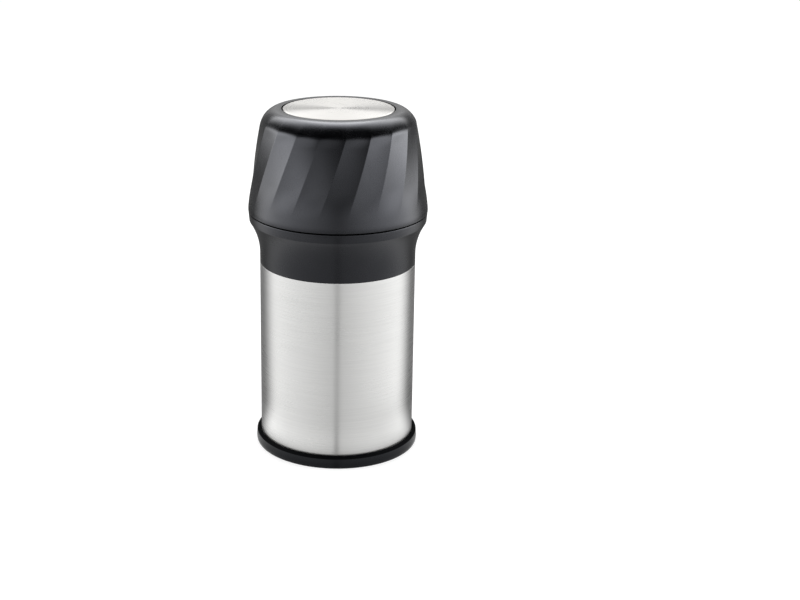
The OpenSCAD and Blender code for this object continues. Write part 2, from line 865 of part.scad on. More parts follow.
// Plate that presses the cheese, with a socket for the stem and a centring ring for the spring
module plunger_plate() {
    color(dark_grey) difference() {
        rotate_extrude() polygon([
            [0, plate_z],
            [plate_r - edge, plate_z],
            [plate_r, plate_z + edge],
            [plate_r, plate_top],
            [centring_r, plate_top],
            [centring_r, plate_top + centring_h],
            [centring_r - centring_w, plate_top + centring_h],
            [centring_r - centring_w, plate_top],
            [stem_r + joint_gap, plate_top],
            [stem_r + joint_gap, socket_z],
            [0, socket_z]
        ]);
        for (row = pin_rings)
            around(row[0])
                translate([row[1], 0, plate_z - cut])
                    cylinder(r = pin_hole_r, h = pin_embed + cut, $fn = 24);
        rotate_extrude() polygon([
            [0, plate_z - cut],
            [csk_head_r + joint_gap, plate_z - cut],
            [csk_head_r + joint_gap, plate_z],
            [csk_r + joint_gap, plate_z + csk_head_h],
            [csk_r + joint_gap, plate_top],
            [0, plate_top]
        ]);
    }
}

// Steel spikes set in the plate
module plunger_pins() {
    color(steel)
        for (row = pin_rings)
            around(row[0])
                translate([row[1], 0, plate_z - pin_l]) {
                    translate([0, 0, pin_tip_h])
                        cylinder(r = pin_r, h = pin_l - pin_tip_h + pin_embed - joint_gap, $fn = 24);
                    cylinder(r1 = pin_r / 6, r2 = pin_r, h = pin_tip_h, $fn = 24);
                }
}

// Countersunk screw from the plate up into the stem
module plunger_screw() {
    color(spring_steel) difference() {
        rotate_extrude() polygon([
            [0, plate_z],
            [csk_head_r, plate_z],
            [csk_r, plate_z + csk_head_h],
            [csk_r, socket_z + csk_l - rest_gap],
            [0, socket_z + csk_l - rest_gap]
        ]);
        for (turn = [0, 90])
            rotate([0, 0, turn])
                translate([-csk_r, -drive_w, plate_z - cut])
                    cube([csk_d, 2 * drive_w, csk_head_h / 2 + cut]);
    }
}

foot_lid();
lid_seal();
grater_carrier();
grater_disc();
hopper();
sleeve();
collar();
lock_ring();
neck_seal();
slip_washer();
head_core();
retainer_ring();
retainer_screws();
core_screws();
guide_tube();
guide_screws();
head_shell();
top_disc();
main_spring();
plunger_stem();
plunger_plate();
plunger_pins();
plunger_screw();
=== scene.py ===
# %% [markdown]
# # A rotary cheese mill
# The mill stands 161 mm tall: a black faceted twist head with a steel plate on top, a flared black collar,
# a brushed steel sleeve and a low black foot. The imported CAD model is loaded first, as a fixed frame. It says
# where every piece sits and which body it moves with, so nothing below has to be placed by eye.
# The plain CAD pieces that the eye rests on are then replaced by finer ones, and the rest get real finishes.

import json
import math

import bmesh
import bpy
import numpy as np
from mathutils import Euler, Matrix, Vector


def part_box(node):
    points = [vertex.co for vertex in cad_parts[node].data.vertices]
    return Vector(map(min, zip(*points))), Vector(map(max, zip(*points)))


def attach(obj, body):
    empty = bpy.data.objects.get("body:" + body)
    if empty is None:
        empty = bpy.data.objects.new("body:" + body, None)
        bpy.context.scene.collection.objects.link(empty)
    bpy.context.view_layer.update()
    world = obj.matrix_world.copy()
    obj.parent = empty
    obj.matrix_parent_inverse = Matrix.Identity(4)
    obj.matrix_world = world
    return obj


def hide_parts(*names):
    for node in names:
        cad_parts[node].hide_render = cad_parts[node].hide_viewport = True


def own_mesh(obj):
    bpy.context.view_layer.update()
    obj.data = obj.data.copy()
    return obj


MM = 0.001
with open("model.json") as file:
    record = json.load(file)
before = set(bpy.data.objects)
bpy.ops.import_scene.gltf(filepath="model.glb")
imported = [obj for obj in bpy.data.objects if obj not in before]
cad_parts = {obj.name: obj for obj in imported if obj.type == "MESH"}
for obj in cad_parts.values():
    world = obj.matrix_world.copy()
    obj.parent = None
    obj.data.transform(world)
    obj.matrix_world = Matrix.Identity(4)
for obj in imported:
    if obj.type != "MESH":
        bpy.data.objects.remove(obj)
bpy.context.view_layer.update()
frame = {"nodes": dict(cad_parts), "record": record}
nodes = frame["nodes"]
print("pieces in the frame:", len(nodes))

# %% [markdown]
# ## The camera
# A picture of a round, upright thing tells where its camera stood: the ellipses of the rings give the height,
# and the way the sides close in gives the distance. Those numbers were fitted once and are written here.
# The mill stands left of and below the middle of the lens, so the lens is shifted rather than turned, which
# keeps the perspective of the rings and the upright sides right.

# %% Camera
PHOTO_W, PHOTO_H = 800, 600
FOCAL_PX = 1480.8
CENTRE_PX = (337.8, 243.8)
SENSOR = 36.0
DISTANCE, HEIGHT = 0.6602, 0.2972
TILT, ROLL = 0.2949, 0.0065

lens = bpy.data.cameras.new("portrait_lens")
lens.sensor_width = SENSOR
lens.lens = FOCAL_PX * SENSOR / PHOTO_W
lens.shift_x = (PHOTO_W / 2 - CENTRE_PX[0]) / PHOTO_W
lens.shift_y = (CENTRE_PX[1] - PHOTO_H / 2) / PHOTO_W
camera = bpy.data.objects.new("camera", lens)
bpy.context.scene.collection.objects.link(camera)
look = Euler((math.pi / 2 - TILT, 0, 0)).to_matrix() @ Matrix.Rotation(ROLL, 3, "Z")
camera.matrix_world = Matrix.Translation((0, -DISTANCE, HEIGHT)) @ look.to_4x4()
bpy.context.scene.camera = camera
bpy.context.scene.view_settings.view_transform = "Standard"
print("lens in mm:", round(lens.lens, 2), "shift:", round(lens.shift_x, 4), round(lens.shift_y, 4))

# %% [markdown]
# ## Nodes without the typing
# Finishes and the studio are both node trees. One small helper adds a node, sets its options, and either
# links or sets each of its inputs, so a tree reads from top to bottom like a recipe. The others are for what
# is wanted most: a soft step between two values from a Map Range node, sums and products, and noise.

# %% Node helpers
def add(tree, kind, options=None, feeds=None):
    """Adds one shader node; a feed that is a socket is linked, any other feed is set as a value."""
    made = tree.nodes.new("ShaderNode" + kind)
    for name, value in (options or {}).items():
        setattr(made, name, value)
    for name, value in (feeds or {}).items():
        if isinstance(value, bpy.types.NodeSocket):
            tree.links.new(value, made.inputs[name])
        else:
            made.inputs[name].default_value = value
    return made


def step_between(tree, value, low, high, start=0.0, end=1.0):
    """Goes softly from start to end as value goes from low to high."""
    feeds = {"Value": value, "From Min": low, "From Max": high, "To Min": start, "To Max": end}
    return add(tree, "MapRange", {"interpolation_type": "SMOOTHSTEP"}, feeds).outputs["Result"]


def step_degrees(tree, angle, low, high, start=0.0, end=1.0):
    """The same soft step for an angle, with its limits in degrees."""
    return step_between(tree, angle, math.radians(low), math.radians(high), start, end)


def plain_math(tree, operation, a, b=0.0):
    """One Math node."""
    return add(tree, "Math", {"operation": operation}, {0: a, 1: b}).outputs[0]


def blend(tree, factor, a, b):
    """A value that goes from a to b as the factor goes from 0 to 1."""
    return add(tree, "Mix", {"data_type": "FLOAT"}, {0: factor, 2: a, 3: b}).outputs[0]


def product(tree, *values):
    """All the values multiplied."""
    total = values[0]
    for value in values[1:]:
        total = plain_math(tree, "MULTIPLY", total, value)
    return total


def vector_math(tree, operation, a, b=(0, 0, 0)):
    """One Vector Math node that gives a vector."""
    return add(tree, "VectorMath", {"operation": operation}, {0: a, 1: b}).outputs["Vector"]


def noise(tree, place, scale, detail):
    """Soft random values that change with the place; most of them lie between 0.3 and 0.7."""
    return add(tree, "TexNoise", None, {"Vector": place, "Scale": scale, "Detail": detail}).outputs["Fac"]


def over_noise(tree, value, start=0.0, end=1.0, spread=0.2):
    """Goes softly from start to end over the middle of a noise's range."""
    return step_between(tree, value, 0.5 - spread, 0.5 + spread, start, end)

# %% [markdown]
# ## The studio
# The picture is a catalogue shot: white all round, and soft light. The world is white where the camera, a
# reflection or a refraction looks at it, and a quieter grey where it lights the mill, so the white background
# costs no extra light. The floor does the same with a little emission under its own diffuse colour, and it is
# dark enough of its own for the mill to leave a shadow on it.

# %% World and floor
WORLD_LIGHT, WORLD_SEEN = 0.75, 1.0
FLOOR_HALF, FLOOR_CELLS = 6.0, 8
PAPER_DARK, PAPER_LIGHT, PAPER_GLOW = 0.54, 0.56, 0.60


def sees_backdrop(tree):
    """1 for camera, mirror and glass rays, 0 for rays that only carry light."""
    path = add(tree, "LightPath").outputs
    seen = plain_math(tree, "MAXIMUM", path["Is Camera Ray"], path["Is Glossy Ray"])
    return plain_math(tree, "MAXIMUM", seen, path["Is Transmission Ray"])


world = bpy.data.worlds.new("white_studio")
world.use_nodes = True
bpy.context.scene.world = world
air = world.node_tree
level = blend(air, sees_backdrop(air), WORLD_LIGHT, WORLD_SEEN)
air.links.new(level, air.nodes["Background"].inputs["Color"])

floor_mesh = bpy.data.meshes.new("floor")
sheet = bmesh.new()
bmesh.ops.create_grid(sheet, x_segments=FLOOR_CELLS, y_segments=FLOOR_CELLS, size=FLOOR_HALF)
sheet.to_mesh(floor_mesh)
sheet.free()
floor = bpy.data.objects.new("floor", floor_mesh)
bpy.context.scene.collection.objects.link(floor)

paper = bpy.data.materials.new("white_paper")
paper.use_nodes = True
ground = paper.node_tree
ground.nodes.clear()
fibre = add(ground, "TexNoise", None, {"Scale": 900.0, "Detail": 2.0}).outputs["Fac"]
shade = over_noise(ground, fibre, PAPER_DARK, PAPER_LIGHT)
lit = add(ground, "BsdfDiffuse", None, {"Color": shade}).outputs[0]
glow = plain_math(ground, "MULTIPLY", sees_backdrop(ground), PAPER_GLOW)
shine = add(ground, "Emission", None, {"Color": (1, 1, 1, 1), "Strength": glow}).outputs[0]
both = add(ground, "AddShader", None, {0: lit, 1: shine}).outputs[0]
add(ground, "OutputMaterial", None, {"Surface": both})
floor_mesh.materials.append(paper)
print("floor:", len(floor_mesh.polygons), "faces")

# %% [markdown]
# ## Soft lamps
# Two tall softboxes stand beside the mill and one hangs behind and above it. They light what is matt: the
# floor, the plastics and the rings inside. What shines gets its look from the tent of the next step, so
# these lamps are kept out of reflections.

# %% Lamps
def softbox(name, place, towards, size, radiance):
    """A rectangular lamp that looks as bright as a white wall of that radiance."""
    width, height = size
    lamp = bpy.data.lights.new(name, "AREA")
    lamp.shape = "RECTANGLE"
    lamp.size, lamp.size_y = width, height
    lamp.energy = radiance * math.pi * width * height
    made = bpy.data.objects.new(name, lamp)
    bpy.context.scene.collection.objects.link(made)
    made.location = place
    made.rotation_euler = (Vector(towards) - Vector(place)).to_track_quat("-Z", "Y").to_euler()
    made.visible_camera = made.visible_glossy = False


softbox("softbox_right", place=(0.50, -0.06, 0.26), towards=(0, 0, 0.10), size=(0.34, 0.40), radiance=2.2)
softbox("softbox_left", place=(-0.52, -0.04, 0.28), towards=(0, 0, 0.10), size=(0.34, 0.44), radiance=1.8)
softbox("softbox_back", place=(0, 0.45, 0.62), towards=(0, 0, 0.12), size=(0.60, 0.50), radiance=2.2)

# %% [markdown]
# ## A light tent
# Black plastic and bright steel show little but their surroundings. A photographer stands such things in a
# tent of white cloth and lights the cloth more here and less there. This tent has a low wall close round the
# mill, with a ring of table inside it, and a wide vault above. Only reflections see it, as if it had been cut
# away for the camera. Its sheets are made on a small lathe: an outline swept round the axis. Blender's Spin
# tool does the same on a mesh that is there already; the function gives the points, which the mill's own
# rings need too.

# %% Lathe and sheets
ON_AXIS = 1e-6


def swept(outline, turns, closed=True):
    """Points and faces of an outline of (radius, height) swept round the axis, which it may touch."""
    points, faces = [], []
    count = len(outline)
    for k in range(turns):
        a = 2 * math.pi * k / turns
        points += [(r * math.cos(a), r * math.sin(a), z) for r, z in outline]
    for k in range(turns):
        near, far = k * count, ((k + 1) % turns) * count
        for i in range(count if closed else count - 1):
            j = (i + 1) % count
            on_axis = [outline[n][0] < ON_AXIS for n in (i, j)]
            if all(on_axis):
                continue
            if on_axis[0]:
                faces.append((near + i, near + j, far + j))
            elif on_axis[1]:
                faces.append((near + i, near + j, far + i))
            else:
                faces.append((near + i, near + j, far + j, far + i))
    return points, faces


def only_reflected(name, points, faces, glow, see_through=False):
    """A sheet that only reflections see; glow works out its radiance in its tree."""
    mesh = bpy.data.meshes.new(name)
    mesh.from_pydata([Vector(p) * MM for p in points], [], faces)
    cloth = bpy.data.materials.new(name)
    cloth.use_nodes = True
    tree = cloth.node_tree
    tree.nodes.clear()
    shine = add(tree, "Emission", None, {"Strength": glow(tree)}).outputs[0]
    if see_through:
        clear = add(tree, "BsdfTransparent").outputs[0]
        shine = add(tree, "AddShader", None, {0: shine, 1: clear}).outputs[0]
    add(tree, "OutputMaterial", None, {"Surface": shine})
    mesh.materials.append(cloth)
    made = bpy.data.objects.new(name, mesh)
    bpy.context.scene.collection.objects.link(made)
    made.visible_camera = made.visible_diffuse = made.visible_shadow = False
    return made

# %% [markdown]
# ## Light on the wall and the table
# How much a sheet glows is worked out from the place on it. The wall is dim in front and brightens evenly to
# the sides, so that the steel runs from grey to white as it turns away, and it is dark behind, which draws
# dark edges. A narrow dark stripe in front is mirrored as the line down the sleeve. The table is dimmer close
# to the foot.

# %% Wall and table
TENT_R, TENT_H, TENT_SIDES = 75, 100, 96
TABLE_R, TABLE_Z = 38.8, 0.3
WALL_FRONT, WALL_SIDE, WALL_TOP, WALL_BACK = 0.64, 1.13, 1.6, 0.18
BRIGHTEST, DARK = 79, 113


def angle_round(tree, x, y):
    """Angle round the axis from the front, 0 to pi on both sides."""
    ahead = plain_math(tree, "MULTIPLY", y, -1.0)
    return plain_math(tree, "ABSOLUTE", plain_math(tree, "ARCTAN2", x, ahead))


def side_light(tree, turn, front, peak, back, brightest, dark):
    """Rises evenly from the front to its peak at the side, then goes over to the back; degrees."""
    brightest, dark = math.radians(brightest), math.radians(dark)
    share = plain_math(tree, "DIVIDE", turn, brightest)
    rise = plain_math(tree, "MINIMUM", share, 1.0)
    return blend(tree, step_between(tree, turn, brightest, dark), blend(tree, rise, front, peak), back)


def wall_glow(tree):
    """The low wall, brighter at its top and striped dark in front, and the table, dim near the foot."""
    place = add(tree, "NewGeometry").outputs["Position"]
    x, y, z = add(tree, "SeparateXYZ", None, {"Vector": place}).outputs
    turn = angle_round(tree, x, y)
    top = step_between(tree, z, low=0.078, high=0.100)
    rightward = step_between(tree, x, low=-0.05, high=0.05, start=-0.04, end=0.08)
    peak = plain_math(tree, "ADD", blend(tree, top, WALL_SIDE, WALL_TOP), rightward)
    light = side_light(tree, turn, WALL_FRONT, peak, WALL_BACK, BRIGHTEST, DARK)
    stripe = step_degrees(tree, turn, low=0, high=4, start=0.50, end=1.0)
    reach = plain_math(tree, "SQRT", plain_math(tree, "ADD", product(tree, x, x), product(tree, y, y)))
    near = step_between(tree, reach, low=0.044, high=0.052, start=0.75, end=1.27)
    far = step_between(tree, reach, low=0.058, high=0.068, start=1.0, end=0.68)
    shaded = step_between(tree, x, low=0.010, high=0.050, start=1.0, end=0.85)
    table = product(tree, near, far, shaded)
    off_table = step_between(tree, z, low=0.001, high=0.012)
    return product(tree, light, stripe, blend(tree, off_table, table, 1.0))


fence = [(TABLE_R, TABLE_Z), (TENT_R, TABLE_Z), (TENT_R, TENT_H)]
wall = only_reflected("tent_wall", *swept(fence, TENT_SIDES, closed=False), wall_glow)
print("wall:", TENT_H, "mm high, faces with the table:", len(wall.data.polygons))

# %% [markdown]
# ## Light on the vault
# The vault is for the black plastic, which mirrors only about a twentieth of what it sees, so it is far
# brighter than the wall. Low down it brightens evenly to the sides, so that every facet gets a grey of its
# own. A panel overhead whitens the shoulder, the black front makes the dark band below it, and a dim strip
# behind lights the rim round the plate.

# %% Vault
VAULT_R, VAULT_Z, VAULT_FOOT, VAULT_RINGS = 350, 130, -20, 22


def arch(radius):
    """Outline of a vault of that radius, from its foot up to the axis."""
    rises = [math.radians(VAULT_FOOT + (90 - VAULT_FOOT) * k / VAULT_RINGS) for k in range(VAULT_RINGS)]
    unit = [(math.cos(a), math.sin(a)) for a in rises] + [(0, 1)]
    return [(radius * r, VAULT_Z + radius * z) for r, z in unit]


def way_out(tree):
    """Direction from the vault's middle to the place on the sheet, as x, y and z."""
    place = add(tree, "NewGeometry").outputs["Position"]
    middle = (0, 0, VAULT_Z * MM)
    out = vector_math(tree, "SUBTRACT", place, middle)
    way = vector_math(tree, "NORMALIZE", out)
    return add(tree, "SeparateXYZ", None, {"Vector": way}).outputs


def low_sides(tree, x, turn, rise):
    """Light low at the sides, more from the right, that reaches higher the further round it lies."""
    climb = step_degrees(tree, rise, low=-4, high=5, start=0.65, end=1.42)
    peak = product(tree, climb, step_between(tree, x, low=-0.5, high=0.5, start=4.9, end=5.9))
    light = side_light(tree, turn, front=0.75, peak=peak, back=0.2, brightest=94, dark=128)
    aslant = step_degrees(tree, turn, low=40, high=90)
    fades = blend(tree, aslant, 0.0, math.radians(6))
    gone = blend(tree, aslant, math.radians(14), math.radians(25))
    foot_fade = step_degrees(tree, rise, low=-19, high=-12, start=0.25, end=1.0)
    return product(tree, light, foot_fade, step_between(tree, rise, fades, gone, start=1.0, end=0.0))


def strip_behind(tree, turn, rise):
    """A dim strip behind, brighter higher up."""
    behind = step_degrees(tree, turn, low=145, high=168, start=0.0, end=0.38)
    higher = step_degrees(tree, rise, low=17, high=27, start=1.0, end=1.8)
    return product(tree, behind, higher, step_degrees(tree, rise, low=2, high=9))


def panel_overhead(tree, x, y, z):
    """A bright panel overhead that dims to its sides and ends behind in a faint skirt."""
    aside = plain_math(tree, "ABSOLUTE", x)
    over = plain_math(tree, "ARCTAN2", z, plain_math(tree, "MULTIPLY", y, -1.0))
    starts = step_degrees(tree, over, low=68, high=122, start=0.0, end=10.8)
    back = plain_math(tree, "SUBTRACT", over, product(tree, aside, math.radians(36)))
    ends = step_degrees(tree, back, low=115, high=133, start=1.0, end=0.0)
    hem = step_between(tree, aside, low=0.28, high=0.50, start=0.13, end=0.035)
    skirt = product(tree, hem, step_degrees(tree, back, low=130, high=167, start=1.0, end=0.0))
    dims = step_between(tree, aside, low=0.1, high=0.38, start=1.0, end=0.58)
    narrow = step_between(tree, aside, low=0.42, high=0.85, start=1.0, end=0.0)
    return product(tree, starts, plain_math(tree, "MAXIMUM", ends, skirt), dims, narrow)


def vault_glow(tree):
    """The vault: low light at the sides, black in front, a panel overhead and a dim strip behind."""
    x, y, z = way_out(tree)
    turn = angle_round(tree, x, y)
    rise = plain_math(tree, "ARCSINE", z)
    around = plain_math(tree, "ADD", low_sides(tree, x, turn, rise), strip_behind(tree, turn, rise))
    return plain_math(tree, "ADD", around, panel_overhead(tree, x, y, z))


vault = only_reflected("tent_vault", *swept(arch(VAULT_R), TENT_SIDES, closed=False), vault_glow)
print("vault:", VAULT_R, "mm in radius, faces:", len(vault.data.polygons))

# %% [markdown]
# ## A quieter sky for the steel
# Steel mirrors nearly all it sees, so the vault would burn the top plate out. The steel gets a sky of its own
# just inside the vault, about as bright as the wall, and clear, so that the vault still shows through it.
# Which piece sees which of the two is said at the end, when the pieces are there. A dark line low behind is
# mirrored as the dark wedges on the top plate.

# %% Sky
SKY_R = VAULT_R - 10


def sky_glow(tree):
    """The sky for steel: as bright as the wall low down, calmer overhead, and a dark line behind."""
    x, y, z = way_out(tree)
    turn = angle_round(tree, x, y)
    rise = plain_math(tree, "ARCSINE", z)
    low = side_light(tree, turn, WALL_FRONT, peak=1.2, back=1.55, brightest=BRIGHTEST, dark=DARK)
    high = step_degrees(tree, rise, low=35, high=60, start=1.58, end=0.95)
    plain = blend(tree, step_degrees(tree, rise, low=17, high=25), low, high)
    behind = step_degrees(tree, turn, low=125, high=155, start=0.0, end=0.72)
    from_below = step_degrees(tree, rise, low=7, high=13)
    from_above = step_degrees(tree, rise, low=20, high=25, start=1.0, end=0.0)
    line = product(tree, behind, from_below, from_above)
    return product(tree, plain, plain_math(tree, "SUBTRACT", 1.0, line))


sky = only_reflected("tent_sky", *swept(arch(SKY_R), TENT_SIDES, closed=False), sky_glow, see_through=True)
print("sky:", SKY_R, "mm in radius, faces:", len(sky.data.polygons))

# %% [markdown]
# ## Moulded black plastic
# The head, the collar and the foot are injection moulded in black plastic with a satin skin. The mould was
# spark finished, which leaves a grain a few tenths of a millimetre across, and the gloss drifts a little from
# place to place. Edges that hands rub get smoother and a touch lighter; the grey pieces inside are out of
# reach and have no such wear. Noise in object coordinates gives the grain and the drift, so the finish stays
# on the piece when it moves, and the geometry's pointiness finds the edges.

# %% Black and grey plastic
GLOSS_DRIFT, RUBBED_SHINE, SPECKLE = 0.03, 0.06, 0.02
COOL_SHEEN = (0.88, 0.905, 1.0, 1.0)


def finish(name):
    """A new material with one principled shader; returns the material, its tree and the shader."""
    made = bpy.data.materials.new(name)
    made.use_nodes = True
    tree = made.node_tree
    tree.nodes.clear()
    shader = add(tree, "BsdfPrincipled")
    add(tree, "OutputMaterial", None, {"Surface": shader.outputs[0]})
    return made, tree, shader


def two_tones(tree, factor, dark, light):
    """A colour between two, both given as red, green and blue."""
    feeds = {0: factor, 6: (*dark, 1.0), 7: (*light, 1.0)}
    return add(tree, "Mix", {"data_type": "RGBA"}, feeds).outputs[2]


def dented(tree, shader, height, strength, depth):
    """Gives a surface small bumps from a height; their depth is in millimetres."""
    bump = add(tree, "Bump", None, {"Height": height, "Strength": strength, "Distance": depth * MM})
    tree.links.new(bump.outputs["Normal"], shader.inputs["Normal"])


def moulded(name, dark, light, gloss, grain_depth, ior, wear=1.0):
    """Spark finished plastic: colour drift, grain, and edges rubbed smooth where hands wear them."""
    made, tree, shader = finish(name)
    place = add(tree, "TexCoord").outputs["Object"]
    drift = noise(tree, place, scale=90.0, detail=3.0)
    grain = noise(tree, place, scale=2400.0, detail=3.0)
    pointed = add(tree, "NewGeometry").outputs["Pointiness"]
    rubbed = step_between(tree, pointed, low=0.505, high=0.56, start=0.0, end=wear)
    tone = plain_math(tree, "MULTIPLY", over_noise(tree, drift), 0.5)
    worn = plain_math(tree, "MAXIMUM", tone, rubbed)
    tree.links.new(two_tones(tree, worn, dark, light), shader.inputs["Base Color"])
    satin = over_noise(tree, drift, gloss - GLOSS_DRIFT, gloss + GLOSS_DRIFT, spread=0.25)
    smoothed = plain_math(tree, "SUBTRACT", satin, plain_math(tree, "MULTIPLY", rubbed, RUBBED_SHINE))
    speckle = over_noise(tree, grain, -SPECKLE, SPECKLE)
    tree.links.new(plain_math(tree, "ADD", smoothed, speckle), shader.inputs["Roughness"])
    dented(tree, shader, grain, strength=0.35, depth=grain_depth)
    shader.inputs["IOR"].default_value = ior
    shader.inputs["Specular Tint"].default_value = COOL_SHEEN
    return made


BLACK, RUBBED_BLACK = (0.0009, 0.0010, 0.0013), (0.0028, 0.0030, 0.0036)
SLATE, RUBBED_SLATE = (0.0038, 0.0042, 0.0048), (0.0056, 0.0060, 0.0068)
GREY, RUBBED_GREY = (0.085, 0.086, 0.09), (0.13, 0.131, 0.136)
black_plastic = moulded("moulded_black", BLACK, RUBBED_BLACK, gloss=0.25, grain_depth=0.006, ior=1.46)
foot_plastic = moulded("moulded_foot", SLATE, RUBBED_SLATE, gloss=0.28, grain_depth=0.008, ior=1.33)
# Painted shade: this dull black mirrors little, darkening the foot's bevel and the gap round the top plate.
dull_shade_plastic = moulded("painted_shade_black", BLACK, BLACK, gloss=0.45, grain_depth=0.020, ior=1.12)
grey_plastic = moulded("moulded_grey", GREY, RUBBED_GREY, gloss=0.45, grain_depth=0.010, ior=1.46, wear=0.0)
print("plastics:", black_plastic.name, foot_plastic.name, dull_shade_plastic.name, grey_plastic.name)

# %% [markdown]
# ## Brushed and spun steel
# The sleeve was turned against an abrasive belt, so its scratches run round it; the top plate was spun, so
# its scratches are circles. Fine parallel scratches mirror sharply along themselves and smear light across
# themselves. The shader's anisotropy does that, with its tangent taken round the axis and turned by a
# quarter. The scratches themselves are noise squeezed hard across their direction: height on the sleeve,
# radius on the plate.

# %% Steel
ALONG, ACROSS, ROUND = 55.0, 5200.0, 1.5
DARK_SCRATCH, LIGHT_SCRATCH = 0.965, 1.03
STREAK, CLOUD = 0.03, 0.02
QUARTER_TURN = 0.25


def scratched(name, stretch, base, rough, smear, depth):
    """Steel with parallel scratches; stretch makes the squeezed coordinates from the tree."""
    made, tree, shader = finish(name)
    squeezed = stretch(tree)
    place = add(tree, "TexCoord").outputs["Object"]
    fine = noise(tree, squeezed, scale=1.0, detail=4.0)
    coarse = noise(tree, squeezed, scale=0.35, detail=2.0)
    cloud = noise(tree, place, scale=40.0, detail=3.0)
    lines = blend(tree, 0.25, fine, coarse)
    dark, light = (tuple(share * c for c in base) for share in (DARK_SCRATCH, LIGHT_SCRATCH))
    tone = over_noise(tree, lines, spread=0.15)
    tree.links.new(two_tones(tree, tone, dark, light), shader.inputs["Base Color"])
    streaks = over_noise(tree, fine, -STREAK, STREAK)
    clouds = over_noise(tree, cloud, rough - CLOUD, rough + CLOUD)
    tree.links.new(plain_math(tree, "ADD", streaks, clouds), shader.inputs["Roughness"])
    dented(tree, shader, lines, strength=0.25, depth=depth)
    shader.inputs["Metallic"].default_value = 1.0
    shader.inputs["Anisotropic"].default_value = smear
    shader.inputs["Anisotropic Rotation"].default_value = QUARTER_TURN
    around = add(tree, "Tangent", {"direction_type": "RADIAL", "axis": "Z"})
    tree.links.new(around.outputs["Tangent"], shader.inputs["Tangent"])
    return made


def round_the_tube(tree):
    """Squeezes height, so that noise becomes long scratches round the axis."""
    place = add(tree, "TexCoord").outputs["Object"]
    return add(tree, "Mapping", None, {"Vector": place, "Scale": (ALONG, ALONG, ACROSS)}).outputs["Vector"]


def round_the_disc(tree):
    """Squeezes radius, so that noise becomes circles about the axis."""
    place = add(tree, "TexCoord").outputs["Object"]
    flat = vector_math(tree, "MULTIPLY", place, (1, 1, 0))
    radius = add(tree, "VectorMath", {"operation": "LENGTH"}, {0: flat}).outputs["Value"]
    ring = add(tree, "CombineXYZ", None, {"Z": plain_math(tree, "MULTIPLY", radius, ACROSS)}).outputs[0]
    turn = vector_math(tree, "NORMALIZE", flat)
    spot = vector_math(tree, "MULTIPLY", turn, (ROUND, ROUND, 0))
    return vector_math(tree, "ADD", spot, ring)


SLEEVE_TONE, PLATE_TONE, BLADE_TONE = (0.72, 0.72, 0.71), (0.78, 0.767, 0.74), (0.70, 0.70, 0.70)
sleeve_steel = scratched("brushed_sleeve", round_the_tube, SLEEVE_TONE, rough=0.30, smear=0.72, depth=0.0022)
disc_steel = scratched("spun_plate", round_the_disc, PLATE_TONE, rough=0.30, smear=0.86, depth=0.002)
grater_steel = scratched("ground_blade", round_the_disc, BLADE_TONE, rough=0.24, smear=0.30, depth=0.004)
print("scratched steels:", sleeve_steel.name, disc_steel.name, grater_steel.name)

# %% [markdown]
# ## Wire, screws, silicone and the slip washer
# Spring wire is drawn through a die and left with a thin grey skin. The small screws are zinc plated, with a
# faint play of blue and straw where the plating dries. The two sealing rings are soft silicone that takes in
# a little light, and the washer in the seam is a white slippery plastic.

# %% Small finishes
FINER, BRIGHTER, DULLER = 12, 0.06, 0.08


def plated(name, cool, warm, rough, scale):
    """Metal with a drifting tint and a fine, uneven polish."""
    made, tree, shader = finish(name)
    place = add(tree, "TexCoord").outputs["Object"]
    tint = noise(tree, place, scale, detail=4.0)
    fine = noise(tree, place, scale * FINER, detail=2.0)
    tree.links.new(two_tones(tree, over_noise(tree, tint), cool, warm), shader.inputs["Base Color"])
    polish = over_noise(tree, fine, rough - BRIGHTER, rough + DULLER)
    tree.links.new(polish, shader.inputs["Roughness"])
    dented(tree, shader, fine, strength=0.2, depth=0.006)
    shader.inputs["Metallic"].default_value = 1.0
    return made


WIRE, BRIGHT_WIRE = (0.54, 0.55, 0.57), (0.66, 0.66, 0.67)
ZINC_BLUE, ZINC_STRAW = (0.56, 0.59, 0.64), (0.68, 0.66, 0.60)
SEAL, PALE_SEAL = (0.46, 0.47, 0.49), (0.54, 0.55, 0.57)
SLIP, PALE_SLIP = (0.80, 0.80, 0.77), (0.87, 0.87, 0.84)
spring_steel = plated("drawn_wire", WIRE, BRIGHT_WIRE, rough=0.30, scale=220.0)
screw_steel = plated("zinc_plate", ZINC_BLUE, ZINC_STRAW, rough=0.32, scale=380.0)
silicone = moulded("soft_silicone", SEAL, PALE_SEAL, gloss=0.55, grain_depth=0.012, ior=1.41)
soft_shader = silicone.node_tree.nodes["Principled BSDF"]
soft_shader.inputs["Subsurface Weight"].default_value = 0.15
soft_shader.inputs["Subsurface Scale"].default_value = 0.6 * MM
bearing_plastic = moulded("slip_plastic", SLIP, PALE_SLIP, gloss=0.38, grain_depth=0.006, ior=1.48)
FINISHES = {
    "black_plastic": black_plastic, "grey_plastic": grey_plastic, "bearing_plastic": bearing_plastic,
    "silicone": silicone, "sleeve_steel": sleeve_steel, "disc_steel": disc_steel,
    "grater_steel": grater_steel, "spring_steel": spring_steel, "screw_steel": screw_steel,
}
print("finishes:", len(FINISHES))

# %% [markdown]
# ## Dressing the frame
# Every CAD piece already says which finish it has: the record lists a material slot for each. The finishes
# above are put on by that list, so a piece that stays as the CAD made it still looks like what it is.

# %% Finishes on the frame
SLOT_OF = {row["node"]: row["material_slot"] for row in frame["record"]["subparts"]}
BODY_OF = {name: body for body, names in frame["record"]["behaviour"]["bodies"].items() for name in names}
for name, piece in nodes.items():
    piece.data.materials.clear()
    piece.data.materials.append(FINISHES[SLOT_OF[name]])
print("dressed:", len(nodes))

